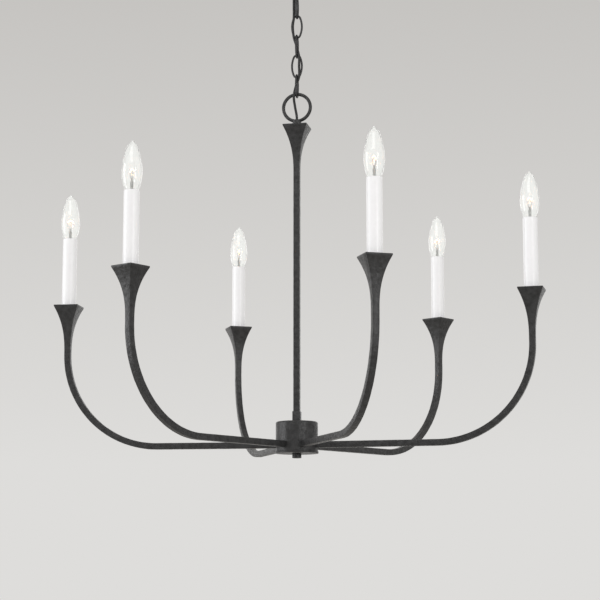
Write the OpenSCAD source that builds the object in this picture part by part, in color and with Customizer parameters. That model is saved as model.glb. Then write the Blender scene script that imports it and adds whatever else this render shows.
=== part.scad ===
// Six arm candle chandelier in black iron, hung by a chain from a round ceiling canopy.
// Millimetres, +Z up. The origin is the centre of the two ceiling screws, in the ceiling's plane.

/* [Overall] */
// Column axis to each candle's axis
arm_reach = 360; // [240:5:480]
// Arms' centreline up to the top of the square cup plates
cup_rise = 227; // [226:1:320]
// Arms' centreline up to the top of the column's capital
column_rise = 497; // [380:1:680]

/* [Square bars] */
// Side of the square arms and column
bar_side = 9.5; // [8:0.1:14]
// Wall of the square bars, which carry the wires
bar_wall = 1.2; // [0.8:0.1:2]
// Radius of the arm's bend, on its centreline
bend_r = 144; // [60:1:145]

/* [Flared plates] */
// Side of the cup plates and of the capital
plate_side = 38; // [26:0.5:60]
// Height of a plate's upright edge
plate_edge = 2; // [1:0.1:4]
// Plate's top down to where the flare meets the bar
flare_h = 75; // [40:1:76]
// How quickly the flare closes in below the plate
flare_power = 2.55; // [1.5:0.05:4]

/* [Hub] */
// Outside diameter of the drum
drum_d = 64; // [54:0.5:90]
// Height of the drum
drum_h = 45; // [38:0.5:70]
// Wall of the drum
drum_wall = 2; // [1.5:0.1:3]
// Arms' centreline above the drum's lower edge
arm_low = 9.8; // [9:0.1:16]
// Thickness of the bottom cover
cover_t = 3; // [2:0.1:6]
// How far the cover stands out past the drum
cover_over = 1.1; // [0:0.1:4]
// Wall of the square collar round the column's foot
collar_wall = 1.15; // [0.8:0.05:4]
// Height of the collar
collar_h = 16; // [10:0.5:30]
// Diameter of the finial knob
finial_d = 14; // [11:0.5:24]
// Height of the finial knob
finial_h = 7; // [5:0.5:16]

/* [Ring and chain] */
// Outside diameter of the hanging ring
ring_od = 48; // [34:0.5:70]
// Thickness of the ring's rod
ring_rod = 5.2; // [4:0.1:8]
// Ring's underside above the capital
ring_lift = 5.5; // [3:0.1:12]
// Outside length of a chain link
link_len = 38.8; // [28:0.5:60]
// Outside width of a chain link
link_w = 19; // [17:0.5:30]
// Radius of a link's ends, on the wire's centreline
link_end_r = 5.4; // [4.4:0.1:6]
// Chain wire diameter
link_wire = 3.2; // [2.4:0.1:4]
// Supply cord diameter
cord_d = 4; // [3:0.1:4.5]

/* [Candles] */
// Outside diameter of the white candle sleeve
sleeve_d = 22; // [21:0.5:30]
// Height of the sleeve above its plate
sleeve_h = 106; // [85:1:150]
// Largest diameter of the bulb
bulb_d = 29; // [24:0.5:38]
// Height of the bulb above its sleeve
bulb_h = 71; // [50:1:110]

/* [Ceiling canopy] */
// Outside diameter of the canopy
canopy_d = 127; // [115:1:160]
// Depth of the canopy
canopy_h = 25; // [22:0.5:50]
// Spacing of the two ceiling screws
screw_pitch = 88.9; // [69.85, 88.9]

/* [Hidden] */
$fn = 48;
// Turn of each arm from its even place, since each is held by one nut only
arm_turn = [-3, 0.4, -1.7, 4, 2.5, -1.2];
// Each cup's height against cup_rise, since the arms are bent by hand
arm_lift = [-1, 5, 1, -6.5, -0.5, 2.5];
arms = 6;
links = 6;
gap = 0.3; // between touching pieces of two bodies
bar_in = bar_side - 2 * bar_wall;
stub_d = 8; // hollow threaded stubs and rods in the hub
stub_bore = 5;
nip_d = 10; // hollow threaded nipples in the canopy and cups
nip_bore = 6.5;
nut_t = 5;
bar_t = 2; // crossbar
skin = 1.2; // canopy and sleeve walls
loop_od = 30;
loop_rod = 4.5;
ring_nut_h = 6;
screw_d = 4;
socket_d = sleeve_d - 2 * skin - 3.6; // stands clear inside the sleeve
cap_d = 12; // bulb's screw cap
cap_h = 22;
socket_top = sleeve_h - 8;
bolt_room = 0.1;
collar_side = bar_side + 2 * bolt_room + 2 * collar_wall;

drum_r = drum_d / 2;
link_in = link_len - 2 * link_wire;
pitch = link_in - gap;
loop_z = -(canopy_h + ring_nut_h + 3 + loop_od / 2 - 1.5);
loop_low = loop_z - (loop_od - loop_rod) / 2;
first_in = loop_low + loop_rod / 2 + gap; // inside of the first link's top
function link_z(i) = first_in - link_in / 2 - (i - 1) * pitch;
// Height of the hinge under link i, and of the canopy loop's hinge for i = 0
function hinge_z(i) = i == 0 ? loop_low : link_z(i) - link_in / 2 - link_wire / 2;
ring_top = hinge_z(links) + link_wire / 2 + gap + ring_rod;
ring_z = ring_top - ring_od / 2;
cap_z = ring_top - ring_od - ring_lift; // top of the capital
arm_z = cap_z - column_rise;
cup_z = arm_z + cup_rise;
drum_low = arm_z - arm_low;
drum_top = drum_low + drum_h;
cover_low = drum_low - cover_t;
socket_seat = 6; // depth of the nipple hole in the collar

iron = [0.16, 0.16, 0.165];
steel = [0.62, 0.62, 0.63];
brass = [0.72, 0.58, 0.32];
ivory = [0.95, 0.95, 0.94];
phenolic = [0.12, 0.11, 0.10];
clear = [0.9, 0.93, 0.95, 0.4];
cloth = [0.09, 0.09, 0.09];

// ---- shared shapes -------------------------------------------------------------------------

// Half width of the flare at depth d below the plate's edge
function flare_w(d) = bar_side / 2
    + (plate_side - bar_side) / 2 * pow(max(0, 1 - d / (flare_h - plate_edge)), flare_power);

// Flared square casting with its plate's top at z = 0
module flared_plate() {
    n = 12;
    side = [for (k = [0:n]) let (d = (flare_h - plate_edge) * k / n)
        [flare_w(d), -plate_edge - d]];
    left = [for (k = [n:-1:0]) [-side[k][0], side[k][1]]];
    outline = concat([[plate_side / 2, 0]], side, left, [[-plate_side / 2, 0]]);
    intersection() {
        rotate([90, 0, 0]) linear_extrude(plate_side, center = true) polygon(outline);
        rotate([90, 0, 90]) linear_extrude(plate_side, center = true) polygon(outline);
    }
}

// Round drum standing on z = 0 with its upper edge rounded
module round_drum(r, h, round) {
    cylinder(r = r, h = h - round, $fn = 96);
    cylinder(r = r - round, h = h, $fn = 96);
    rotate_extrude($fn = 96) translate([r - round, h - round]) circle(r = round);
}

module tube(d, bore, h) {
    difference() {
        cylinder(d = d, h = h);
        translate([0, 0, -1]) cylinder(d = bore, h = h + 2);
    }
}

module hex_nut(across, bore, h) {
    difference() {
        cylinder(d = across / cos(30), h = h, $fn = 6);
        translate([0, 0, -1]) cylinder(d = bore, h = h + 2);
    }
}

// Square bar of the arm's route: from x0 along +X, round the bend and up to z1
module arm_route(side, x0, z1) {
    run = arm_reach - bend_r;
    translate([x0, -side / 2, -side / 2]) cube([run - x0, side, side]);
    translate([run, 0, bend_r]) rotate([90, 0, 0]) rotate([0, 0, -90])
        rotate_extrude(angle = 90, $fn = 128) translate([bend_r, 0]) square(side, center = true);
    translate([arm_reach - side / 2, -side / 2, bend_r]) cube([side, side, z1 - bend_r]);
}

// Round wire on the same route
module wire_route(d, x0, z1) {
    run = arm_reach - bend_r;
    translate([x0, 0, 0]) rotate([0, 90, 0]) cylinder(d = d, h = run - x0);
    translate([run, 0, bend_r]) rotate([90, 0, 0]) rotate([0, 0, -90])
        rotate_extrude(angle = 90, $fn = 96) translate([bend_r, 0]) circle(d = d);
    translate([arm_reach, 0, bend_r]) cylinder(d = d, h = z1 - bend_r);
}

module at_arm(i) {
    translate([0, 0, arm_z]) rotate([0, 0, 60 * (i - 1) + arm_turn[i - 1]]) children();
}

module at_cup(i) {
    at_arm(i) translate([arm_reach, 0, cup_rise + arm_lift[i - 1]]) children();
}

// Oval link of four arcs in the XZ plane, centred on z = 0. The side arcs are a hair thinner
// and run a little way into the end arcs
module oval_link() {
    half_w = (link_w - link_wire) / 2;
    end_z = (link_len - link_wire) / 2 - link_end_r;
    spare = half_w - link_end_r;
    back = (end_z * end_z - spare * spare) / (2 * spare); // side arc's centre past the axis
    turn = atan2(end_z, back);
    into = 17 / (half_w + back); // degrees, about 0.3 mm along the wire
    rotate([90, 0, 0]) for (s = [0, 180]) rotate([0, 0, s]) {
        translate([0, end_z, 0]) rotate([0, 0, turn])
            rotate_extrude(angle = 180 - 2 * turn, $fn = 64)
                translate([link_end_r, 0]) circle(d = link_wire);
        translate([-back, 0, 0]) rotate([0, 0, -turn - into])
            rotate_extrude(angle = 2 * (turn + into), $fn = 96)
                translate([half_w + back, 0]) circle(d = link_wire - 0.04);
    }
}

// ---- supply cord ---------------------------------------------------------------------------

aside = (max(link_wire, loop_rod) + cord_d) / 2 + gap; // clears a wire beside the cord
ring_aside = (ring_rod + cord_d) / 2 + gap;
mid = (link_wire + cord_d) / 2 + gap;
// Sideways place of the cord at the canopy loop and below each link: left is -1, right is 1
weave = [-1, -1, -1, -1, 1, 1, -1];
function at_hinge(i) = i == links ? [weave[i] * mid, -ring_aside, hinge_z(i)]
    : [weave[i] * (i == 0 ? aside : mid + 0.3), -mid, hinge_z(i)];
// Where it crosses inside an even link it stands back from that link's front leg
function at_link(i) = let (a = at_hinge(i - 1), b = at_hinge(i), across = (a[0] + b[0]) / 2)
    i == 3 ? [-1.5 * mid, -mid, link_z(i)]
    : i == 4 ? [across, -0.77 * mid, link_z(i)]
    : i == 6 ? [across - 1, -0.77 * mid, link_z(i)] : [across, -mid, link_z(i)];
// Route from the outlet box, through the canopy, chain, ring and column, into the drum
route_top = [[0, 0, 6], [0, 0, -12], [0, 0, -canopy_h - 4], [0, 0, loop_z + loop_od / 2 - 5],
             [-0.7 * aside, -0.7 * mid, loop_z - 2]];
route_chain = [for (i = [0:links - 1]) for (k = [0, 1]) k == 0 ? at_hinge(i) : at_link(i + 1)];
route_low = [at_hinge(links), [-0.65 * mid, -0.6 * mid, ring_z + 1],
             [-0.12 * mid, -0.1 * mid, ring_z - 12], [0, 0, cap_z + 10], [0, 0, cap_z - 4],
             [0, 0, drum_top + 4], [0, 0, drum_low + 34], [1, 0, drum_low + 28],
             [5, 0, drum_low + 24], [11, 0, drum_low + 23]];
route = concat(route_top, route_chain, route_low);
keys = len(route);
first_hinge = len(route_top);

function along(k, t) = let (
        p0 = route[max(0, k - 1)], p1 = route[k],
        p2 = route[min(keys - 1, k + 1)], p3 = route[min(keys - 1, k + 2)],
        h = norm(p2 - p1),
        m1 = (p2 - p0) * h / max(0.01, norm(p2 - p1) + norm(p1 - p0)),
        m2 = (p3 - p1) * h / max(0.01, norm(p3 - p2) + norm(p2 - p1)))
    (2 * pow(t, 3) - 3 * pow(t, 2) + 1) * p1 + (pow(t, 3) - 2 * pow(t, 2) + t) * m1
    + (-2 * pow(t, 3) + 3 * pow(t, 2)) * p2 + (pow(t, 3) - pow(t, 2)) * m2;
function heading(k) = let (d = route[min(keys - 1, k + 1)] - route[max(0, k - 1)]) d / norm(d);

// Eight sided tube through the route's points from key a to key b, cut square at both ends
module cord_run(a, b) {
    steps = 2;
    n = 8;
    pts = [for (k = [a:b - 1]) for (j = [0:steps - 1]) along(k, j / steps)];
    mid_pts = concat(pts, [route[b]]);
    last = len(mid_pts) - 1;
    // The hinge ends are cut level, so that neighbours meet face to face
    dir = [for (k = [0:last])
        k == 0 ? (a == 0 ? [0, 0, -1] : [0, 0, -1])
        : k == last ? (b == keys - 1 ? heading(b) : [0, 0, -1])
        : let (d = mid_pts[k + 1] - mid_pts[k - 1]) d / norm(d)];
    rings = [for (k = [0:last]) let (
            u = cross([0, 1, 0], dir[k]) / norm(cross([0, 1, 0], dir[k])),
            v = cross(dir[k], u))
        [for (s = [0:n - 1]) mid_pts[k] + cord_d / 2 / cos(11.25)
            * (cos(360 * (s + 0.5) / n) * u + sin(360 * (s + 0.5) / n) * v)]];
    polyhedron(
        points = [for (r = rings) for (p = r) p],
        faces = concat(
            [[for (s = [0:n - 1]) s]],
            [for (k = [0:last - 1]) for (s = [0:n - 1])
                [k * n + s, (k + 1) * n + s, (k + 1) * n + (s + 1) % n, k * n + (s + 1) % n]],
            [[for (s = [n - 1:-1:0]) last * n + s]]),
        convexity = 4);
}

module cord_ceiling() { color(cloth) cord_run(0, first_hinge); }
module cord(i) { color(cloth) cord_run(first_hinge + 2 * i - 2, first_hinge + 2 * i); }
module cord_frame() { color(cloth) cord_run(first_hinge + 2 * links, keys - 1); }

// ---- ceiling fitting -----------------------------------------------------------------------

module crossbar() {
    color(steel) difference() {
        translate([-52, -10, -bar_t]) cube([104, 20, bar_t]);
        for (x = [-1, 1]) translate([x * screw_pitch / 2, 0, -bar_t - 1])
            cylinder(d = screw_d + 2 * bolt_room, h = bar_t + 2);
        translate([0, 0, -bar_t - 1]) cylinder(d = nip_d + 2 * bolt_room, h = bar_t + 2);
        translate([22, 0, -bar_t - 1]) cylinder(d = 3 + 2 * bolt_room, h = bar_t + 2);
    }
}

module box_screws() {
    color(steel) for (x = [-1, 1]) translate([x * screw_pitch / 2, 0, 0]) {
        translate([0, 0, -bar_t - 2.6]) cylinder(d = 8, h = 2.6);
        translate([0, 0, -bar_t - 1]) cylinder(d = screw_d - 0.6, h = bar_t + 2); // plain neck
        cylinder(d = screw_d, h = 14);
    }
}

module ground_screw() {
    color([0.15, 0.45, 0.2]) translate([22, 0, 0]) {
        translate([0, 0, -bar_t - 2.2]) cylinder(d = 7, h = 2.2, $fn = 6);
        translate([0, 0, -bar_t - 1]) cylinder(d = 3, h = bar_t + 4);
    }
}

module canopy_nipple() {
    color(brass) translate([0, 0, -20]) tube(nip_d, nip_bore, 28);
}

module nipple_nuts() {
    color(brass) {
        hex_nut(16, nip_d + 2 * bolt_room, 3);
        translate([0, 0, -bar_t - 3]) hex_nut(16, nip_d + 2 * bolt_room, 3);
    }
}

module canopy() {
    color(iron) mirror([0, 0, 1]) difference() {
        round_drum(canopy_d / 2, canopy_h, 8);
        translate([0, 0, -1]) round_drum(canopy_d / 2 - skin, canopy_h + 1 - skin, 8 - skin);
        cylinder(d = 16.6, h = canopy_h + 1);
    }
}

module canopy_loop() {
    low = loop_z + loop_od / 2 - loop_rod;
    color(iron) difference() {
        union() {
            translate([0, 0, -canopy_h - ring_nut_h - 3]) cylinder(d = 16, h = canopy_h + ring_nut_h - 5);
            translate([0, 0, low - 0.4]) cylinder(d = 14, h = -canopy_h - ring_nut_h - 2 - low);
            translate([0, 0, loop_z]) rotate([0, 90, 0])
                rotate_extrude($fn = 96) translate([(loop_od - loop_rod) / 2, 0]) circle(d = loop_rod);
        }
        translate([0, 0, -20.5]) cylinder(d = nip_d + 2 * bolt_room, h = 30);
        translate([0, 0, low - 2]) cylinder(d = cord_d + 1, h = 40);
    }
}

module collar_ring() {
    color(iron) translate([0, 0, -canopy_h - ring_nut_h])
        difference() {
            round_drum_pair(13, ring_nut_h);
            translate([0, 0, -1]) cylinder(d = 16 + 2 * bolt_room, h = ring_nut_h + 2);
        }
}

module round_drum_pair(r, h) {
    cylinder(r1 = r - 1, r2 = r, h = 1);
    translate([0, 0, 1]) cylinder(r = r, h = h - 1);
}

// ---- chain ---------------------------------------------------------------------------------

// Odd links face along Y, even links along X
module chain_link(i) {
    color(iron) translate([0, 0, link_z(i)]) rotate([0, 0, i % 2 == 1 ? 0 : 90]) oval_link();
}

// ---- ring, column and hub ------------------------------------------------------------------

module hanging_loop() {
    foot_h = ring_lift + ring_rod + 0.3;
    color(iron) difference() {
        union() {
            translate([0, 0, ring_z]) rotate([90, 0, 0])
                rotate_extrude($fn = 96) translate([(ring_od - ring_rod) / 2, 0]) circle(d = ring_rod);
            translate([0, 0, cap_z]) cylinder(d = 14, h = foot_h);
            translate([0, 0, cap_z - 12]) cylinder(d = stub_d, h = 13);
        }
        translate([0, 0, cap_z - 13]) cylinder(d = cord_d + 0.9, h = foot_h + 14);
    }
}

module column_capital() {
    color(iron) translate([0, 0, cap_z]) difference() {
        union() {
            flared_plate();
            translate([-bar_in / 2 + bolt_room, -bar_in / 2 + bolt_room, -flare_h - 12])
                cube([bar_in - 2 * bolt_room, bar_in - 2 * bolt_room, 14]);
        }
        translate([0, 0, -12.5]) cylinder(d = stub_d + 2 * bolt_room, h = 14);
        translate([0, 0, -flare_h - 13]) cylinder(d = cord_d + 0.9, h = flare_h + 14);
    }
}

module column_tube() {
    low = drum_top + socket_seat;
    high = cap_z - flare_h;
    color(iron) translate([0, 0, low]) difference() {
        translate([-bar_side / 2, -bar_side / 2, 0]) cube([bar_side, bar_side, high - low]);
        translate([-bar_in / 2, -bar_in / 2, -1]) cube([bar_in, bar_in, high - low + 2]);
    }
}

module column_collar() {
    fit = bar_side + 2 * bolt_room;
    color(iron) translate([0, 0, drum_top]) difference() {
        translate([-collar_side / 2, -collar_side / 2, 0]) cube([collar_side, collar_side, collar_h]);
        translate([-fit / 2, -fit / 2, socket_seat]) cube([fit, fit, collar_h]);
        translate([0, 0, -1]) cylinder(d = stub_d + 2 * bolt_room, h = collar_h);
    }
}

module hub_shell() {
    color(iron) difference() {
        translate([0, 0, drum_low]) difference() {
            round_drum(drum_r, drum_h, 3);
            translate([0, 0, -1]) cylinder(r = drum_r - drum_wall, h = drum_h - 1.5, $fn = 96);
            cylinder(d = stub_d + 2 * bolt_room, h = drum_h + 1);
        }
        for (i = [1:arms]) at_arm(i) translate([drum_r - 8, 0, 0]) rotate([0, 90, 0])
            cylinder(d = stub_d + 2 * bolt_room, h = 20);
    }
}

module hub_cover() {
    color(iron) translate([0, 0, cover_low]) difference() {
        union() {
            cylinder(r = drum_r + cover_over, h = cover_t, $fn = 96);
            cylinder(r = drum_r - drum_wall - 0.2, h = cover_t + 1.5, $fn = 96);
        }
        translate([0, 0, -1]) cylinder(d = stub_d + 2 * bolt_room, h = cover_t + 4);
    }
}

// Hollow threaded rod that ties the collar, drum, cover and finial, with a window for the cord
module hub_rod() {
    low = cover_low - finial_h + 2.5;
    color(steel) translate([0, 0, low]) difference() {
        tube(stub_d, stub_bore, drum_top + socket_seat - low);
        translate([0, -cord_d / 2 - 0.3, drum_low - low + 18]) cube([stub_d, cord_d + 0.6, 14]);
    }
}

module hub_nut() {
    color(steel) translate([0, 0, drum_top - 2.5 - 4]) hex_nut(13, stub_d + 2 * bolt_room, 4);
}

module finial() {
    color(iron) translate([0, 0, cover_low - finial_h]) difference() {
        union() {
            cylinder(d1 = finial_d - 1, d2 = finial_d, h = 0.5);
            translate([0, 0, 0.5]) cylinder(d = finial_d, h = finial_h - 0.5);
        }
        translate([0, 0, 2.3]) cylinder(d = stub_d + 2 * bolt_room, h = finial_h);
    }
}

module wire_nuts() {
    color([0.8, 0.35, 0.1]) for (s = [-1, 1]) translate([3, s * 15, drum_low + 17])
        cylinder(d1 = 11, d2 = 7.5, h = min(20, drum_h - 22));
}

module arm_nuts() {
    color(steel) for (i = [1:arms]) at_arm(i)
        translate([sqrt(pow(drum_r - drum_wall, 2) - 56.25) - nut_t, 0, 0]) rotate([0, 90, 0])
            hex_nut(13, stub_d + 2 * bolt_room, nut_t);
}

// ---- arms and candles ----------------------------------------------------------------------

// Hollow bar with its flared cup, and a threaded stub that goes through the drum's wall
module arm(i) {
    rise = cup_rise + arm_lift[i - 1];
    color(iron) at_arm(i) difference() {
        union() {
            difference() {
                arm_route(bar_side, drum_r - 6, rise - flare_h + 1);
                translate([0, 0, -20]) cylinder(r = drum_r + 0.03, h = 40, $fn = 96);
            }
            translate([drum_r - drum_wall - nut_t - 4, 0, 0]) rotate([0, 90, 0])
                cylinder(d = stub_d, h = drum_wall + nut_t + 8);
            translate([arm_reach, 0, rise]) flared_plate();
        }
        arm_route(bar_in, drum_r + 6, rise - 15);
        translate([drum_r - 20, 0, 0]) rotate([0, 90, 0]) cylinder(d = stub_bore, h = 30);
        translate([arm_reach, 0, rise - 10]) cylinder(d = nip_d + 2 * bolt_room, h = 12);
        translate([arm_reach, 0, rise - 20]) cylinder(d = nip_bore, h = 12);
    }
}

module lamp_wires() {
    color(cloth) for (i = [1:arms]) at_arm(i)
        wire_route(3.6, drum_r - drum_wall - nut_t - 5, cup_rise + arm_lift[i - 1] + 22);
}

module socket_nipples() {
    color(brass) for (i = [1:arms]) at_cup(i) translate([0, 0, -9.5]) tube(nip_d, nip_bore, 18);
}

module candle_sleeve(i) {
    color(ivory) at_cup(i) tube(sleeve_d, sleeve_d - 2 * skin, sleeve_h);
}

// Candelabra socket: foot on the nipple, side leg, and body with the screw shell's hole
module socket(i) {
    leg_h = 44;
    color(phenolic) at_cup(i) difference() {
        union() {
            cylinder(d = socket_d, h = 2.5);
            translate([-socket_d / 2 + 0.8, -4, 1]) cube([1.6, 8, leg_h + 2]);
            translate([0, 0, leg_h]) cylinder(d = socket_d, h = socket_top - leg_h);
        }
        translate([0, 0, -1]) cylinder(d = nip_d + 2 * bolt_room, h = 5);
        translate([0, 0, socket_top - cap_h - 1]) cylinder(d = cap_d + 2 * gap, h = cap_h + 2);
    }
}

// Share of the bulb's height above the sleeve, and share of its largest radius
bulb_shape = [[0, 0.62], [0.06, 0.73], [0.13, 0.855], [0.22, 0.95], [0.31, 0.99], [0.39, 1],
              [0.47, 0.975], [0.55, 0.92], [0.63, 0.845], [0.7, 0.765], [0.77, 0.68],
              [0.84, 0.575], [0.89, 0.475], [0.93, 0.35], [0.965, 0.205], [0.985, 0.11],
              [1, 0.03]];

module bulb(i) {
    wall = 0.8;
    tall = concat([[cap_d / 2 - 0.2, -sleeve_h + socket_top + 0.05], [cap_d / 2 + 1.6, -3.5]],
        [for (p = bulb_shape) [p[1] * bulb_d / 2, p[0] * bulb_h]]);
    n = len(tall);
    inner = [for (k = [n - 3:-1:0]) [max(0.1, tall[k][0] - wall), tall[k][1]]];
    at_cup(i) {
        color(clear) translate([0, 0, sleeve_h]) rotate_extrude($fn = 64)
            polygon(concat(tall, [[0, bulb_h], [0, 0.95 * bulb_h]], inner));
        color(brass) translate([0, 0, socket_top - cap_h]) {
            cylinder(d = 8, h = 2);
            translate([0, 0, 1.5]) cylinder(d = cap_d, h = cap_h - 1.5);
        }
    }
}

// ---- nodes ---------------------------------------------------------------------------------

crossbar();
box_screws();
ground_screw();
canopy_nipple();
nipple_nuts();
canopy();
canopy_loop();
collar_ring();
cord_ceiling();
cord_frame();
hanging_loop();
column_capital();
column_tube();
column_collar();
hub_shell();
hub_cover();
hub_rod();
hub_nut();
finial();
wire_nuts();
arm_nuts();
lamp_wires();
socket_nipples();
for (i = [1:links]) {
    chain_link(i);
    cord(i);
}
for (i = [1:arms]) {
    arm(i);
    candle_sleeve(i);
    socket(i);
    bulb(i);
}
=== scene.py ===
"""Six arm candle chandelier: black textured iron, white candle sleeves and clear torpedo bulbs.

Metres, +Z up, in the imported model's frame: the ceiling's plane is z = 0 and the object hangs
below it. Each class is one sub-assembly. Its fields are sizes in millimetres, its methods build
the meshes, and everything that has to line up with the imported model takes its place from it.
"""

from __future__ import annotations

import logging
import math
from dataclasses import dataclass
from enum import Enum

import bpy
import numpy as np
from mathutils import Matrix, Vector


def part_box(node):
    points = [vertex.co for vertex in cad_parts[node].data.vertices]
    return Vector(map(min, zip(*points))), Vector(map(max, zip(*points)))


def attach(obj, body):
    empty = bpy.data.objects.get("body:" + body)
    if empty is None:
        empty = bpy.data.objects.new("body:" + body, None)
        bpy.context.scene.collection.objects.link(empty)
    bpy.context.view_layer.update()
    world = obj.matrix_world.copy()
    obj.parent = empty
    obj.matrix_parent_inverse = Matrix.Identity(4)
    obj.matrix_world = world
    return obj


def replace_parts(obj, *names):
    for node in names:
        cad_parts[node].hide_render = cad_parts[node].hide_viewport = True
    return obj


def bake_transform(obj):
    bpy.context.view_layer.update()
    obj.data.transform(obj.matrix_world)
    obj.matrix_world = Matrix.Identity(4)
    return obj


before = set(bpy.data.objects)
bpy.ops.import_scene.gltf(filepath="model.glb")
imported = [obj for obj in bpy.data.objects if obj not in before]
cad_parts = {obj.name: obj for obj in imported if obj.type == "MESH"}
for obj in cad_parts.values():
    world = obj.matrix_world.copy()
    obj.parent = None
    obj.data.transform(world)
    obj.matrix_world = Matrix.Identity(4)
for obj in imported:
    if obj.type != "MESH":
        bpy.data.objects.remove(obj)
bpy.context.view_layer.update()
LOG = logging.getLogger("chandelier")
MM = 0.001
ARMS = range(1, 7)
LINKS = range(1, 7)


# ---- shapes --------------------------------------------------------------------------------


class Draft:
    """Closed surfaces gathered for one piece before it becomes an object, in millimetres."""

    def __init__(self) -> None:
        """Starts with no points and no faces."""
        self.points: list[np.ndarray] = []
        self.faces: list[np.ndarray] = []
        self.total = 0

    def loft(self, rings: np.ndarray, loop: bool = False) -> Draft:
        """Adds the closed surface through a run of rings, each a closed loop of points.

        Point (i, j) joins (i + 1, j) and (i, j + 1). With loop the last ring meets the first,
        and otherwise each end is closed by a fan to its middle. The volume, the sum of
        a . (b x c) / 6 over the triangles, gives the side that faces outwards.

        Args:
            rings: Points as rings x points round x 3.
            loop: Whether the run closes on itself.

        Returns:
            This draft.
        """
        m, n = rings.shape[:2]
        i, j = np.meshgrid(np.arange(m if loop else m - 1), np.arange(n), indexing="ij")
        i2, j2 = (i + 1) % m, (j + 1) % n
        quads = np.stack([i * n + j, i2 * n + j, i2 * n + j2, i * n + j2], -1).reshape(-1, 4)
        points = rings.reshape(-1, 3)
        triangles = np.vstack([quads[:, :3], quads[:, [0, 2, 3]]])
        faces = [quads]
        if not loop:
            points = np.vstack([points, rings[0].mean(0), rings[-1].mean(0)])
            k, k2 = np.arange(n), (np.arange(n) + 1) % n
            first = np.stack([np.full(n, m * n), k, k2], -1)
            last = np.stack([np.full(n, m * n + 1), (m - 1) * n + k2, (m - 1) * n + k], -1)
            faces += [first, last]
            triangles = np.vstack([triangles, first, last])
        a, b, c = (points[triangles[:, s]] for s in range(3))
        if np.einsum("ij,ij->i", a, np.cross(b, c)).sum() < 0:
            faces = [f[:, ::-1] for f in faces]
        self.points.append(points)
        self.faces += [f + self.total for f in faces]
        self.total += len(points)
        return self

    def piece(self, name: str, finish: bpy.types.Material, sharp: float = 38) -> bpy.types.Object:
        """Makes the object: smooth, apart from edges that turn by more than an angle.

        Args:
            name: The piece's name.
            finish: Its material.
            sharp: That angle in degrees.

        Returns:
            The new object at the origin, with its place in its mesh.
        """
        mesh = bpy.data.meshes.new(name)
        rows = [row for block in self.faces for row in block.tolist()]
        mesh.from_pydata((np.vstack(self.points) * MM).tolist(), [], rows)
        mesh.polygons.foreach_set("use_smooth", np.ones(len(rows), bool))
        mesh.set_sharp_from_angle(angle=math.radians(sharp))
        mesh.materials.append(finish)
        mesh.update()
        obj = bpy.data.objects.new(name, mesh)
        bpy.context.scene.collection.objects.link(obj)
        return obj


def lathe(profile: np.ndarray, around: int = 64) -> np.ndarray:
    """Turns an outline about Z: (r, z) becomes (r cos t, r sin t, z) for t round the circle.

    Args:
        profile: Radius and height of each point of the outline.
        around: Points round the circle.

    Returns:
        Rings for Draft.loft.
    """
    t = np.arange(around) * 2 * np.pi / around
    r, z = profile[:, :1], profile[:, 1:]
    return np.stack([r * np.cos(t), r * np.sin(t), z + 0 * t], -1)


def rounded_squares(half: np.ndarray, corner: np.ndarray, steps: int = 4) -> np.ndarray:
    """Squares with quarter circle corners: corner centre s (h - c) plus c (cos a, sin a).

    Args:
        half: Half side of each square.
        corner: Corner radius of each.
        steps: Segments in a corner.

    Returns:
        Sections as squares x points x 2.
    """
    turn = np.repeat(np.arange(4), steps + 1) * np.pi / 2
    a = turn + np.tile(np.linspace(0, np.pi / 2, steps + 1), 4)
    s = math.sqrt(2) * np.stack([np.cos(turn + np.pi / 4), np.sin(turn + np.pi / 4)], -1)
    h, c = half[:, None, None], corner[:, None, None]
    return s * (h - c) + c * np.stack([np.cos(a), np.sin(a)], -1)


def circles(radius: np.ndarray, steps: int = 4) -> np.ndarray:
    """Circles with as many points as rounded_squares gives, starting at the same side."""
    return rounded_squares(radius, radius, steps)


def level(flat: np.ndarray, height: np.ndarray) -> np.ndarray:
    """Rings for Draft.loft: flat sections (x, y), each lying at its own height."""
    z = np.broadcast_to(height[:, None, None], (*flat.shape[:2], 1))
    return np.concatenate([flat, z], -1)


def curve_through(keys: np.ndarray, steps: int) -> np.ndarray:
    """Smooth curve through points: a cubic Hermite between each two of them.

    The tangent at point k is (p[k+1] - p[k-1]) over the two spans' summed length, times the
    span it is used in, so that a short span beside a long one stays calm.

    Args:
        keys: Points, n x 2 or n x 3.
        steps: Segments between two of them.

    Returns:
        The curve's points, the last key included.
    """
    padded = np.vstack([keys[:1], keys, keys[-1:]])
    span = np.linalg.norm(np.diff(padded, axis=0), axis=1)
    slope = (padded[2:] - padded[:-2]) / (span[1:] + span[:-1])[:, None]
    h = span[1:-1, None, None]
    t = (np.arange(steps) / steps)[None, :, None]
    p1, p2 = keys[:-1, None], keys[1:, None]
    m1, m2 = slope[:-1, None] * h, slope[1:, None] * h
    run = (
        (2 * t**3 - 3 * t**2 + 1) * p1
        + (t**3 - 2 * t**2 + t) * m1
        + (3 * t**2 - 2 * t**3) * p2
        + (t**3 - t**2) * m2
    )
    return np.vstack([run.reshape(-1, keys.shape[1]), keys[-1:]])


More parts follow.
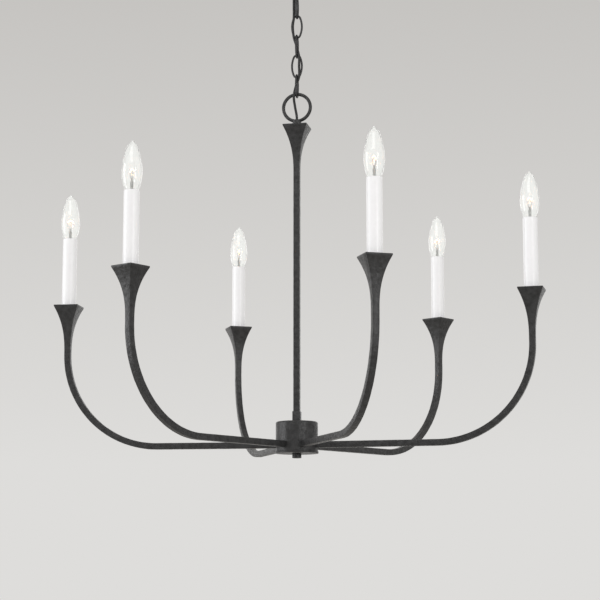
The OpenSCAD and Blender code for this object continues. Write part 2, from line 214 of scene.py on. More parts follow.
def round_wire(path: np.ndarray, radius: float | np.ndarray, side: np.ndarray,
               around: int = 14, loop: bool = False) -> np.ndarray:
    """Circle carried along a path: path + r (u cos t + v sin t), u and v square to its heading.

    Args:
        path: Points along the wire.
        radius: The wire's radius, one or one a point.
        side: A direction that the path never follows; u stays square to it and the heading.
        around: Points round the wire.
        loop: Whether the path closes on itself.

    Returns:
        Rings for Draft.loft.
    """
    if loop:
        heading = np.roll(path, -1, 0) - np.roll(path, 1, 0)
    else:
        heading = np.gradient(path, axis=0)
    heading /= np.linalg.norm(heading, axis=1)[:, None]
    u = np.cross(side, heading)
    u /= np.linalg.norm(u, axis=1)[:, None]
    v = np.cross(heading, u)
    t = np.arange(around) * 2 * np.pi / around
    r = np.broadcast_to(np.asarray(radius, float), len(path))[:, None, None]
    ring = u[:, None] * np.cos(t)[:, None] + v[:, None] * np.sin(t)[:, None]
    return path[:, None] + r * ring


def wander(along: np.ndarray, size: float, seed: float) -> np.ndarray:
    """Uneven hand of a forged bar: three sines of 31, 17 and 9 mm, each offset by the seed."""
    waves = sum(np.sin(2 * np.pi * along / w + seed * w) for w in (31.0, 17.0, 9.0))
    return size * waves / 3


# ---- finishes ------------------------------------------------------------------------------


def linear(colour: str) -> tuple[float, float, float, float]:
    """The linear colour of an sRGB hex value."""
    share = np.array([int(colour[k:k + 2], 16) / 255 for k in (1, 3, 5)])
    low, high = share / 12.92, ((share + 0.055) / 1.055) ** 2.4
    return (*np.where(share <= 0.04045, low, high).tolist(), 1.0)


def add_node(tree: bpy.types.NodeTree, kind: str, inputs: dict | None = None,
             **settings: object) -> bpy.types.Node:
    """Adds a shader node with its settings, and a value or a feeding socket for each input.

    Args:
        tree: The material's node tree.
        kind: The node's type.
        inputs: Input name or number to a value or an output socket.
        settings: The node's own properties.

    Returns:
        The new node.
    """
    node = tree.nodes.new(kind)
    for key, value in settings.items():
        setattr(node, key, value)
    for key, value in (inputs or {}).items():
        if isinstance(value, bpy.types.NodeSocket):
            tree.links.new(value, node.inputs[key])
        else:
            node.inputs[key].default_value = value
    return node


@dataclass(frozen=True)
class Finish:
    """What a surface is made of, drawn on the piece's own Object coordinates."""

    name: str

    def begin(
        self, **shader: object,
    ) -> tuple[bpy.types.NodeTree, bpy.types.Node, bpy.types.NodeSocket]:
        """Starts the material.

        Args:
            shader: Values for the shader's sockets, with _ in place of a space.

        Returns:
            The node tree, the shader and the Object coordinates.
        """
        material = bpy.data.materials.new(self.name)
        material.use_nodes = True
        tree = material.node_tree
        bsdf = tree.nodes["Principled BSDF"]
        for key, value in shader.items():
            bsdf.inputs[key.replace("_", " ")].default_value = value
        return tree, bsdf, add_node(tree, "ShaderNodeTexCoord").outputs["Object"]

    def material(self) -> bpy.types.Material:
        """The finish's material, made the first time that it is asked for."""
        if self.name not in bpy.data.materials:
            self.paint()
        return bpy.data.materials[self.name]

    def paint(self) -> None:
        """Each finish draws its own surface."""
        raise NotImplementedError


@dataclass(frozen=True)
class TexturedIron(Finish):
    """Cast and forged iron under a black satin coat sprayed over a rough, dimpled skin.

    It gives a charcoal black whose broad highlights break up into grains and short streaks.
    """

    dark: str = "#0d0d0e"
    light: str = "#303031"
    grain_mm: float = 3.0
    dimple_mm: float = 6.5
    depth_mm: float = 0.75

    def paint(self) -> None:
        """Grains and wider dimples share one height, which drives the gloss and also the colour as
        painted shade and light: dark in the dimples, light on the raised grain.
        """
        tree, bsdf, place = self.begin(Metallic=0.0, IOR=1.5)
        grain = add_node(tree, "ShaderNodeTexNoise", {
            "Vector": place, "Scale": 1 / (self.grain_mm * MM), "Detail": 3.0,
            "Roughness": 0.6, "Distortion": 0.6})
        dimple = add_node(tree, "ShaderNodeTexVoronoi", {
            "Vector": place, "Scale": 1 / (self.dimple_mm * MM), "Randomness": 1.0},
            feature="SMOOTH_F1")
        height = add_node(tree, "ShaderNodeMath", {
            0: grain.outputs["Fac"], 1: dimple.outputs["Distance"]}, operation="ADD")
        bump = add_node(tree, "ShaderNodeBump", {
            "Height": height.outputs[0], "Strength": 0.9, "Distance": self.depth_mm * MM})
        # Painted shade and light: the colour follows the height, darkest in the dimples and low
        # grain and lightest on the raised grain.
        shade = add_node(tree, "ShaderNodeMapRange", {
            "Value": height.outputs[0], "From Min": 0.45, "From Max": 1.25})
        colour = add_node(tree, "ShaderNodeMix", {
            0: shade.outputs[0], 6: linear(self.dark), 7: linear(self.light)},
            data_type="RGBA")
        gloss = add_node(tree, "ShaderNodeMapRange", {
            "Value": grain.outputs["Fac"], "From Min": 0.3, "From Max": 0.7,
            "To Min": 0.46, "To Max": 0.3})
        tree.links.new(colour.outputs[2], bsdf.inputs["Base Color"])
        tree.links.new(gloss.outputs[0], bsdf.inputs["Roughness"])
        tree.links.new(bump.outputs[0], bsdf.inputs["Normal"])


@dataclass(frozen=True)
class MouldedPlastic(Finish):
    """Moulded plastic: an even colour, with the faint ripple of the mould in its gloss."""

    colour: str = "#f3f3f1"
    shade: str = "#e9e9e8"
    roughness: float = 0.24
    ior: float = 1.5
    ripple_mm: float = 6.0
    depth_mm: float = 0.02

    def paint(self) -> None:
        """Slow noise moves the colour a little and lifts the surface by hundredths of a mm."""
        tree, bsdf, place = self.begin(Roughness=self.roughness, IOR=self.ior)
        ripple = add_node(tree, "ShaderNodeTexNoise", {
            "Vector": place, "Scale": 1 / (self.ripple_mm * MM), "Detail": 2.0})
        colour = add_node(tree, "ShaderNodeMix", {
            0: ripple.outputs["Fac"], 6: linear(self.colour), 7: linear(self.shade)},
            data_type="RGBA")
        bump = add_node(tree, "ShaderNodeBump", {
            "Height": ripple.outputs["Fac"], "Strength": 0.4, "Distance": self.depth_mm * MM})
        tree.links.new(colour.outputs[2], bsdf.inputs["Base Color"])
        tree.links.new(bump.outputs[0], bsdf.inputs["Normal"])


@dataclass(frozen=True)
class BareMetal(Finish):
    """Turned, drawn or plated metal, with the fine lines that its tool left round or along it."""

    colour: str = "#c9c9cc"
    dull: str = "#a9a9ad"
    roughness: tuple[float, float] = (0.24, 0.42)
    line_mm: float = 0.5
    stretch: tuple[float, float, float] = (0.08, 0.08, 1.0)

    def paint(self) -> None:
        """Noise squeezed along one axis gives lines, which drive the colour and the gloss."""
        tree, bsdf, place = self.begin(Metallic=1.0)
        lines = add_node(tree, "ShaderNodeMapping", {"Vector": place, "Scale": self.stretch})
        noise = add_node(tree, "ShaderNodeTexNoise", {
            "Vector": lines.outputs[0], "Scale": 1 / (self.line_mm * MM), "Detail": 2.0})
        stain = add_node(tree, "ShaderNodeTexNoise", {"Vector": place, "Scale": 90.0})
        colour = add_node(tree, "ShaderNodeMix", {
            0: stain.outputs["Fac"], 6: linear(self.colour), 7: linear(self.dull)},
            data_type="RGBA")
        gloss = add_node(tree, "ShaderNodeMapRange", {
            "Value": noise.outputs["Fac"], "From Min": 0.3, "From Max": 0.7,
            "To Min": self.roughness[0], "To Max": self.roughness[1]})
        bump = add_node(tree, "ShaderNodeBump", {
            "Height": noise.outputs["Fac"], "Strength": 0.3, "Distance": 0.02 * MM})
        tree.links.new(colour.outputs[2], bsdf.inputs["Base Color"])
        tree.links.new(gloss.outputs[0], bsdf.inputs["Roughness"])
        tree.links.new(bump.outputs[0], bsdf.inputs["Normal"])


@dataclass(frozen=True)
class BlownGlass(Finish):
    """Blown soda-lime glass, clear, with slow waves in its thickness that bend reflections."""

    colour: str = "#fbfcfb"
    roughness: float = 0.02
    wave_mm: float = 9.0
    depth_mm: float = 0.12
    clear: float = 0.9

    def paint(self) -> None:
        """A slow noise stretched along Z tilts the surface by a degree or so."""
        tree, bsdf, place = self.begin(
            Base_Color=linear(self.colour), Roughness=self.roughness, IOR=1.5,
            Transmission_Weight=self.clear)
        long = add_node(tree, "ShaderNodeMapping", {"Vector": place, "Scale": (1, 1, 0.3)})
        wave = add_node(tree, "ShaderNodeTexNoise", {
            "Vector": long.outputs[0], "Scale": 1 / (self.wave_mm * MM), "Detail": 1.0})
        bump = add_node(tree, "ShaderNodeBump", {
            "Height": wave.outputs["Fac"], "Strength": 0.5, "Distance": self.depth_mm * MM})
        tree.links.new(bump.outputs[0], bsdf.inputs["Normal"])


@dataclass(frozen=True)
class HotTungsten(Finish):
    """Coiled tungsten wire glowing at low power: an orange white thread."""

    glow: str = "#ffc58a"
    strength: float = 16.0

    def paint(self) -> None:
        """The wire's own light, with its grey metal under it."""
        tree, bsdf, place = self.begin(
            Base_Color=linear("#6b6765"), Metallic=1.0, Emission_Strength=self.strength)
        uneven = add_node(tree, "ShaderNodeTexNoise", {"Vector": place, "Scale": 400.0})
        colour = add_node(tree, "ShaderNodeMix", {
            0: uneven.outputs["Fac"], 6: linear(self.glow), 7: linear("#ff8f4a")},
            data_type="RGBA")
        tree.links.new(colour.outputs[2], bsdf.inputs["Emission Color"])


# Arms, column, hub and canopy: hammered, sprayed iron, charcoal with broken highlights
IRON = TexturedIron("textured_black_iron")
# Chain: drawn wire under the same coat, so smoother, with a finer grain
CHAIN_IRON = TexturedIron("drawn_black_iron", dark="#151516", light="#303032", grain_mm=1.8,
                          dimple_mm=4.0, depth_mm=0.2)
# Sleeves: moulded tube, bright white with one soft upright highlight
SLEEVE_PLASTIC = MouldedPlastic("white_polycarbonate", "#fbfbfd", "#f5f5f7", 0.2)
# Sockets: pressed resin, dull brownish black
PHENOLIC = MouldedPlastic("black_phenolic", "#1d1b1a", "#131211", 0.42, 1.6, 3.0, 0.05)
# Wire nuts: moulded orange, slightly waxy
WIRE_NUT_PLASTIC = MouldedPlastic("orange_polypropylene", "#c9571a", "#b04a14", 0.38, 1.49, 3.0,
                                  0.05)
# Lamp wires and cord: extruded jackets, dull black with a faint ripple
WIRE_PLASTIC = MouldedPlastic("black_pvc_wire", "#19191a", "#111112", 0.4, 1.53, 2.0, 0.03)
CORD_PLASTIC = MouldedPlastic("black_pvc_jacket", "#131314", "#0d0d0e", 0.48, 1.5, 2.5, 0.12)
# Earth screw: dipped enamel, glossy green
GREEN_ENAMEL = MouldedPlastic("green_enamelled_screw", "#1c7a36", "#14622a", 0.28, 1.5, 2.0, 0.03)
# Bulb cap's insulator: fused glass, shiny black
BLACK_GLASS = MouldedPlastic("black_vitrite_glass", "#151215", "#0d0b0d", 0.14, 1.6, 2.0, 0.03)
# Bulb: thin and clear with bright edges; its stem: thicker and milky where it was pressed
LAMP_GLASS = BlownGlass("clear_lamp_glass")
STEM_GLASS = BlownGlass("drawn_stem_glass", "#f6f7f6", 0.12, 3.0, 0.2, 0.45)
# Crossbar, screws, rod and nuts: plated, light grey with fine lines
ZINC_STEEL = BareMetal("zinc_plated_steel")
# Leads and supports: thin drawn wire, warm grey
NICKEL_WIRE = BareMetal("nickel_lead_wire", "#a8a39a", "#7f7a72", (0.3, 0.5), 0.3)
# Nipples and bulb caps: turned or rolled brass, yellow with fine rings
BRASS = BareMetal("drawn_brass", "#d8b36a", "#b48c46", (0.2, 0.38), 0.4)
# Bulb's contact: a cooled bead, uneven pale grey
SOLDER = BareMetal("soft_solder", "#b9bbbf", "#8f9296", (0.3, 0.5), 1.2, (1.0, 1.0, 1.0))
# Filament: a coil at work, orange white
TUNGSTEN = HotTungsten("glowing_tungsten")


def low_high(node: str) -> tuple[np.ndarray, np.ndarray]:
    """Lowest and highest corner of a CAD node at rest, in millimetres."""
    low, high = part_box(node)
    return np.array(low) / MM, np.array(high) / MM


def finish_piece(draft: Draft, name: str, finish: Finish, body: str,
                 stands_for: tuple[str, ...] = (), sharp: float = 38) -> bpy.types.Object:
    """Makes a piece, lets it ride on its body and hides the CAD nodes that it stands for.

    Args:
        draft: Its surfaces.
        name: Its name.
        finish: Its finish.
        body: The CAD body that it moves with.
        stands_for: CAD nodes that it replaces.
        sharp: Angle in degrees past which an edge stays sharp.

    Returns:
        The piece.
    """
    piece = draft.piece(name, finish.material(), sharp)
    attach(piece, body)
    if stands_for:
        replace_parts(piece, *stands_for)
    LOG.info("%s: %d faces on %s", name, len(piece.data.polygons), body)
    return piece


def iron_piece(draft: Draft, name: str, node: str, body: str = "frame") -> None:
    """Finishes a piece of black iron that stands for one CAD node."""
    finish_piece(draft, name, IRON, body, (node,))


# ---- camera and room -----------------------------------------------------------------------


@dataclass
class Room:
    """Camera, soft lights and a plain floor. Distances in metres, angles in degrees."""

    distance: float = 2.6026
    sideways: float = 0.0048
    below_arms: float = 0.1856
    pitch: float = 8.91
    turn: float = 11.86
    lens: float = 102.95
    floor_z: float = -2.3

    def camera(self) -> None:
        """A long lens a little below the arms, looking up and turned a little to the right."""
        turn = math.radians(self.turn)
        side, back = self.sideways, self.distance
        arm_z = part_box("arm_1")[0].z + SquareBar().side / 2 * MM
        camera = bpy.data.objects.new("camera", bpy.data.cameras.new("camera"))
        camera.data.lens, camera.data.sensor_width = self.lens, 36.0
        camera.data.clip_end = 60.0
        camera.location = (
            side * math.cos(turn) + back * math.sin(turn),
            side * math.sin(turn) - back * math.cos(turn),
            arm_z - self.below_arms,
        )
        camera.rotation_euler = (math.radians(90 + self.pitch), 0.0, turn)
        bpy.context.scene.collection.objects.link(camera)
        bpy.context.scene.camera = camera

    def soft_light(self, name: str, bearing: float, height: float, far: float,
                   size: tuple[float, float], power: float, tint: str = "#ffffff",
                   through_glass: bool = False) -> None:
        """A soft box that faces the object.

        Args:
            name: The light's name.
            bearing: Degrees to the right of the camera, seen from the object.
            height: Metres above the object's middle.
            far: Metres from the object's axis.
            size: Width and height in metres.
            power: Watts.
            tint: Its colour.
            through_glass: Whether clear glass in front of it shows it.
        """
        data = bpy.data.lights.new(name, "AREA")
        data.shape, data.size, data.size_y = "RECTANGLE", *size
        data.energy, data.color = power, linear(tint)[:3]
        light = bpy.data.objects.new(name, data)
        a = math.radians(self.turn + bearing)
        middle = -0.55
        light.location = (far * math.sin(a), -far * math.cos(a), middle + height)
        light.rotation_euler = (math.atan2(far, height), 0.0, a)
        light.visible_camera, light.visible_transmission = False, through_glass
        bpy.context.scene.collection.objects.link(light)

    def build(self) -> None:
        """Camera, a window light and a strip, soft boxes above and behind, sky and floor."""
        self.camera()
        self.soft_light("window_left", -84, 0.3, 3.4, (1.8, 2.4), 42, "#fbfcff")
        self.soft_light("strip_right", 34, 0.2, 3.6, (0.4, 2.6), 26)
        self.soft_light("high_front", -12, 2.6, 3.0, (2.4, 1.6), 34)
        self.soft_light("soft_back", 180, 0.6, 3.6, (4.6, 2.4), 21, through_glass=True)
        world = bpy.data.worlds.new("pale_room")
        bpy.context.scene.world = world
        world.use_nodes = True
        tree = world.node_tree
        facing = add_node(tree, "ShaderNodeSeparateXYZ", {
            0: add_node(tree, "ShaderNodeTexCoord").outputs["Generated"]})
        height = add_node(tree, "ShaderNodeMapRange", {
            "Value": facing.outputs["Z"], "From Min": 0.06, "From Max": 0.34})
        colour = add_node(tree, "ShaderNodeMix", {
            0: height.outputs[0], 6: linear("#dedddb"), 7: linear("#c4c2bf")},
            data_type="RGBA")
        tree.links.new(colour.outputs[2], tree.nodes["Background"].inputs["Color"])
        bpy.context.scene.view_settings.view_transform = "Standard"
        angle = np.arange(96) * 2 * np.pi / 96
        rim = np.stack([9e3 * np.cos(angle), 9e3 * np.sin(angle), 0 * angle], -1)
        depth = np.array([[0, 0, self.floor_z / MM - 20.0], [0, 0, self.floor_z / MM]])
        plaster = MouldedPlastic("pale_floor_plaster", "#dcdad6", "#d6d4d0", 0.8, 1.5, 60.0, 0.1)
        floor = Draft().loft(rim[None] + depth[:, None]).piece("floor", plaster.material())


# ---- supply cord ---------------------------------------------------------------------------


@dataclass
class SupplyCord:
    """Black jacketed cord from the ceiling, woven through the chain, down into the drum."""

    radius: float = 2.0
    bend_reach: float = 11.0

    def keys(self) -> np.ndarray:
        """The route's points in millimetres: ceiling, chain from hinge to hinge, ring, column."""
        return np.array([
            (0, 0, 6), (0, 0, -12), (0, 0, -29), (0, 0, -37.5), (-3.18, -2.73, -49.5),
            (-4.55, -3.9, -60.25), (-4.38, -3.9, -73.9), (-4.2, -3.9, -91.7), (-4.2, -3.9, -106),
            (-4.2, -3.9, -123.8), (-5.85, -3.9, -138.1), (-4.2, -3.9, -155.9), (0, -3, -170.2),
            (4.2, -3.9, -188), (4.2, -3.9, -202.3), (4.2, -3.9, -220.1), (-0.85, -3, -234.4),
            (-3.9, -4.9, -252.2), (-2.54, -2.34, -268.1), (-0.47, -0.39, -281.1), (0, 0, -288.6),
            (0, 0, -302.6), (0, 0, -756.4), (0, 0, -771.4), (1, 0, -777.4), (5, 0, -781.4),
            (11, 0, -782.4)], float)

    def build(self) -> None:
        """One piece from the middle of each link to the middle of the next, bent at the hinge."""
        steps = 10
        route = curve_through(self.keys(), steps)
        cuts = [0, *(steps * (6 + 2 * k) for k in range(6)), len(route) - 1]
        stands = ["cord_ceiling", *(f"cord_{i}" for i in range(1, 6)), "cord_6"]
        for k, (a, b) in enumerate(zip(cuts[:-1], cuts[1:])):
            rings = round_wire(route[a:b + 1], self.radius, np.array([0.0, 1.0, 0.0]), 16)
            name = f"supply_cord_{k + 1}"
            cord = Draft().loft(rings).piece(name, CORD_PLASTIC.material(), 60)
            nodes = (stands[k],) if k < 6 else (stands[k], "cord_frame")
            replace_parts(cord, *nodes) or cord
            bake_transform(cord)


# ---- ironwork ------------------------------------------------------------------------------


@dataclass
class SquareBar:
    """The square bar that the arms and the column are made of."""

    side: float = 9.5
    bore: float = 7.1
    corner: float = 0.9
    unevenness: float = 0.09


@dataclass
class FlaredPlate:
    """Square plate on a flare that closes in like a trumpet until it meets the bar."""

    side: float = 38.0
    edge: float = 2.0
    height: float = 75.0
    power: float = 2.55
    bevel: float = 0.5

    def outline(self, bar: SquareBar, steps: int = 30) -> np.ndarray:
        """Half widths and depths from the bar up to the plate's top.

        The half width at depth d below the plate's edge is
        bar / 2 + (plate - bar) / 2 (1 - d / flare) ^ power.

        Args:
            bar: The bar that it grows from.
            steps: Segments in the flare.

        Returns:
            Rows of half width, corner radius and height, the plate's top at 0.
        """
        share = np.linspace(0, 1, steps + 1) ** 0.8
        grow = (self.side - bar.side) / 2 * share**self.power
        flare = (self.height - self.edge) * (share - 1) - self.edge
        corner = bar.corner + (self.bevel - bar.corner) * share
        rows = np.stack([bar.side / 2 + grow, corner, flare], -1)
        h, b = self.side / 2, self.bevel
        angle = np.radians([0, 30, 60, 90])
        lip = np.stack([h - b + b * np.cos(angle), 0 * angle + b, b * np.sin(angle) - b], -1)
        return np.vstack([rows, lip])


@dataclass
class Arms:
    """Six hollow bars: level out of the drum, up round a bend, and flared into a cup."""

    bar: SquareBar
    plate: FlaredPlate
    bend: float = 144.0
    drum_radius: float = 32.0

    def route(self, reach: float, top: float) -> tuple[np.ndarray, np.ndarray]:
        """Centreline in the arm's own plane: straight, a quarter circle, then straight up.

        Args:
            reach: Column axis to the candle's axis.
            top: Height where the flare begins.

        Returns:
            Points (x, z) and the heading's angle at each, in radians.
        """
        run = reach - self.bend
        level = np.linspace(self.drum_radius, run, 44)[:-1]
        turn = np.linspace(0, np.pi / 2, 49)
        rise = np.linspace(self.bend, top, 4)[1:]
        x = np.concatenate([level, run + self.bend * np.sin(turn), np.full(3, reach)])
        z = np.concatenate([0 * level, self.bend * (1 - np.cos(turn)), rise])
        angle = np.concatenate([0 * level, turn, np.full(3, np.pi / 2)])
        return np.stack([x, z], -1), angle

    def sweep(self, path: np.ndarray, angle: np.ndarray, section: np.ndarray) -> np.ndarray:
        """Sections stood square to the path: (x - v sin a, u, z + v cos a) for a point (u, v).

        Args:
            path: Centreline (x, z).
            angle: Heading at each point.
            section: Points (u, v) of each section.

        Returns:
            Rings for Draft.loft.
        """
        u, v = section[..., 0], section[..., 1]
        a = angle[:, None]
        return np.stack([path[:, :1] - v * np.sin(a), u, path[:, 1:] + v * np.cos(a)], -1)

    def rings(self, reach: float, rise: float, seed: float) -> np.ndarray:
        """The arm as one closed run: outside from the drum to the plate, and back inside.

        Args:
            reach: Column axis to the candle's axis.
            rise: Centreline up to the plate's top.
            seed: What makes this arm's unevenness its own.

        Returns:
            Rings that close on themselves.
        """
        bar = self.bar
        path, angle = self.route(reach, rise - self.plate.height)
        length = np.concatenate([[0], np.cumsum(np.linalg.norm(np.diff(path, axis=0), axis=1))])
        half = bar.side / 2 + wander(length, bar.unevenness, seed)
        flare = self.plate.outline(bar)[1:]
        up = np.full(len(flare), np.pi / 2)
        cup_path = np.stack([0 * up + reach, rise + flare[:, 2]], -1)
        outside = np.vstack([
            self.sweep(path, angle, rounded_squares(half, 0 * half + bar.corner)),
            self.sweep(cup_path, up, rounded_squares(flare[:, 0], flare[:, 1]))])
        outside[0, :, 0] = np.sqrt((self.drum_radius + 0.03) ** 2 - outside[0, :, 1] ** 2)
        hole = np.array([[5.1, 0.0], [5.1, -10.0], [3.25, -10.1], [3.25, -20.0]])
        down = np.full(len(hole), np.pi / 2)
        bore_path = np.stack([0 * down + reach, rise + hole[:, 1]], -1)
        inside = np.vstack([
            self.sweep(bore_path, down, circles(hole[:, 0])),
            self.sweep(path, angle, rounded_squares(0 * half + bar.bore / 2, 0 * half + 0.4))[::-1],
        ])
        return np.vstack([outside, inside])

    def stub(self) -> np.ndarray:
        """Hollow threaded stub through the drum's wall, its thread 1.27 mm from crest to crest."""
        x = np.arange(17.0, 35.0, 0.32)
        crest = 3.85 + 0.14 * np.cos(2 * np.pi * x / 1.27)
        outer = np.stack([crest, x], -1)
        inner = np.array([[2.5, 35.0], [2.5, 17.0]])
        turned = lathe(np.vstack([outer, inner]), 24)
        return turned[..., [2, 0, 1]]

    def build(self) -> None:
        """Each arm turned to its place round the column."""
        for i in ARMS:
            low, high = low_high(f"candle_sleeve_{i}")
            centre = (low + high) / 2
            reach, azimuth = math.hypot(*centre[:2]), math.atan2(centre[1], centre[0])
            arm_z = low_high(f"arm_{i}")[0][2] + self.bar.side / 2
            draft = Draft()
            spin = turn_about_z(azimuth)
            for rings in (self.rings(reach, low[2] - arm_z, 0.7 * i), self.stub()):
                draft.loft(rings @ spin.T + [0, 0, arm_z], loop=True)
            iron_piece(draft, f"forged_arm_{i}", f"arm_{i}")


def turn_about_z(angle: float) -> np.ndarray:
    """The 3 x 3 matrix that turns a column vector by an angle about Z, in radians."""
    c, s = math.cos(angle), math.sin(angle)
    return np.array([[c, -s, 0.0], [s, c, 0.0], [0.0, 0.0, 1.0]])


@dataclass
class Column:
    """Hanging ring with its foot, flared capital, square tube and the collar at its foot."""

    bar: SquareBar
    plate: FlaredPlate
    ring_outside: float = 48.0
    ring_rod: float = 5.2
    foot_low: float = 7.0
    foot_high: float = 6.8
    cord_hole: float = 2.45
    collar_side: float = 12.0
    collar_height: float = 16.0

    def stand(self, rows: np.ndarray, z: float) -> np.ndarray:
        """Squares: half width, corner radius and height above z in each row."""
        return level(rounded_squares(rows[:, 0], rows[:, 1]), rows[:, 2] + z)

    def bore(self, rows: np.ndarray, z: float) -> np.ndarray:
        """Circles of the same number of points: radius and height above z in each row."""
        return level(circles(rows[:, 0]), rows[:, 1] + z)

    def hanging_ring(self) -> None:
        """Round rod bent to a ring, standing in a short foot whose rim is rolled over."""
        low, high = low_high("hanging_loop")
        middle = high[2] - self.ring_outside / 2
        t = np.arange(96) * 2 * np.pi / 96
        r = (self.ring_outside - self.ring_rod) / 2
        path = np.stack([r * np.cos(t), 0 * t, middle + r * np.sin(t)], -1)
        rod = self.ring_rod / 2 + wander(r * t, 0.05, 1.3)
        ring = round_wire(path, rod, np.array([0.0, 1.0, 0.0]), 20, loop=True)
        base = low_high("column_capital")[1][2]
        roll = np.radians(np.linspace(0, 180, 9))
        wall = (self.foot_high - self.cord_hole) / 2
        top = 10.0
        rim = np.stack([self.cord_hole + wall + wall * np.cos(roll),
                        top - wall + wall * np.sin(roll)], -1)
        foot = np.vstack([[[self.foot_low, 0.0], [self.foot_low, 1.2],
                           [self.foot_high + 0.1, 4.0]], rim,
                          [[self.cord_hole, -12.0], [4.0, -12.0], [4.0, 0.0]]])
        draft = Draft().loft(ring, loop=True).loft(lathe(foot, 48) + [0, 0, base], loop=True)
        iron_piece(draft, "hanging_ring", "hanging_loop")

    def capital(self) -> None:
        """The flare under the ring, bored for the cord, with the spigot that holds the tube."""
        top = low_high("column_capital")[1][2]
        rows = self.plate.outline(self.bar)
        spigot = self.bar.bore / 2 - 0.1
        tail = np.array([[spigot, 0.4, -87.0], [spigot, 0.4, -75.05]])
        bore = np.array([[4.1, 0.0], [4.1, -12.5], [2.45, -12.6], [2.45, -87.0]])
        rings = np.vstack([self.stand(tail, top), self.stand(rows, top), self.bore(bore, top)])
        iron_piece(Draft().loft(rings, loop=True), "flared_capital", "column_capital")

    def tube(self) -> None:
        """Hollow square tube with the slight unevenness of the bar."""
        low, high = low_high("column_tube")
        z = np.linspace(low[2], high[2], 60)
        half = self.bar.side / 2 + wander(z, self.bar.unevenness, 2.1)
        outside = self.stand(np.stack([half, 0 * z + self.bar.corner, z], -1), 0)
        inside = self.stand(np.stack([0 * z + self.bar.bore / 2, 0 * z + 0.4, z], -1), 0)[::-1]
        rings = np.vstack([outside, inside])
        iron_piece(Draft().loft(rings, loop=True), "column_bar", "column_tube")

    def collar(self) -> None:
        """Square collar on the drum, its upper edge eased and its foot bored for the rod."""
        low = low_high("column_collar")[0][2]
        h, top, hold = self.collar_side / 2, self.collar_height, self.bar.side / 2 + 0.1
        rows = np.array([[h - 0.3, 0.8, 0.0], [h, 0.9, 0.3], [h, 0.9, top - 1.0],
                         [h - 0.3, 0.8, top - 0.3], [h - 0.75, 0.6, top], [hold, 0.4, top],
                         [hold, 0.4, 6.0]])
        bore = np.array([[4.1, 6.0], [4.1, 0.0]])
        rings = np.vstack([self.stand(rows, low), self.bore(bore, low)])
        iron_piece(Draft().loft(rings, loop=True), "square_collar", "column_collar")

    def build(self) -> None:
        """From the ring down to the collar."""
        self.hanging_ring()
        self.capital()
        self.tube()
        self.collar()


@dataclass
class Hub:
    """Round drum, the cover that closes it from below and the knob that holds the cover."""

    radius: float = 32.0
    wall: float = 2.0
    height: float = 45.0
    edge_round: float = 3.0
    cover_radius: float = 33.1
    cover_thick: float = 3.0
    knob_radius: float = 7.0
    knob_height: float = 7.0
    rod_hole: float = 4.1

    def turned(self, name: str, node: str, profile: np.ndarray, around: int = 96) -> None:
        """Turns a piece that stands on its CAD node's lowest level.

        Args:
            name: The piece's name.
            node: The CAD node that it replaces.
            profile: Radius and height of each point of its closed outline.
            around: Points round the circle.
        """
        low = low_high(node)[0][2]
        iron_piece(Draft().loft(lathe(profile, around) + [0, 0, low], loop=True), name, node)

    def drum(self) -> None:
        """Cast shell with a rolled upper edge, open below."""
        r, h, e = self.radius, self.height, self.edge_round
        roll = np.radians(np.linspace(0, 90, 9))
        edge = np.stack([r - e + e * np.cos(roll), h - e + e * np.sin(roll)], -1)
        profile = np.vstack([[[r - self.wall, 0.0], [r - 0.3, 0.0], [r, 0.3]],
                             [[r, z] for z in (12.0, 24.0, 34.0)], edge,
                             [[self.rod_hole, h], [self.rod_hole, h - 2.5],
                              [r - self.wall - 1.5, h - 2.5], [r - self.wall, h - 4.0]]])
        self.turned("hub_drum", "hub_shell", profile)

    def cover(self) -> None:
        """Flat disc with a turned edge and a lip that centres it in the drum."""
        r, t, b = self.cover_radius, self.cover_thick, 0.5
        profile = np.array([[self.rod_hole, 0.0], [8.6, 0.0], [9.0, -0.0], [r - b - 1.0, 0.0],
                            [r - b, 0.06], [r - 0.12, b], [r, b + 0.5], [r, t - b],
                            [r - b, t], [self.radius - self.wall - 0.2, t],
                            [self.radius - self.wall - 0.2, t + 1.5], [self.rod_hole, t + 1.5]])
        self.turned("hub_cover_plate", "hub_cover", profile)

    def knob(self) -> None:
        """Short turned knob with a shallow dish in its underside."""
        r, h = self.knob_radius, self.knob_height
        profile = np.array([[0.4, 0.5], [r - 2.2, 0.5], [r - 1.6, 0.0], [r - 0.6, 0.0],
                            [r - 0.12, 0.25], [r, 0.8], [r, h - 0.8], [r - 0.2, h - 0.2],
                            [r - 0.7, h], [self.rod_hole, h], [self.rod_hole, 2.3], [0.4, 2.3]])
        self.turned("bottom_knob", "finial", profile, 64)

    def build(self) -> None:
        """The three iron pieces that show."""
        self.drum()
        self.cover()
        self.knob()


class LinkFace(Enum):
    """Which way a link's opening faces."""

    FRONT = 0
    SIDE = 1


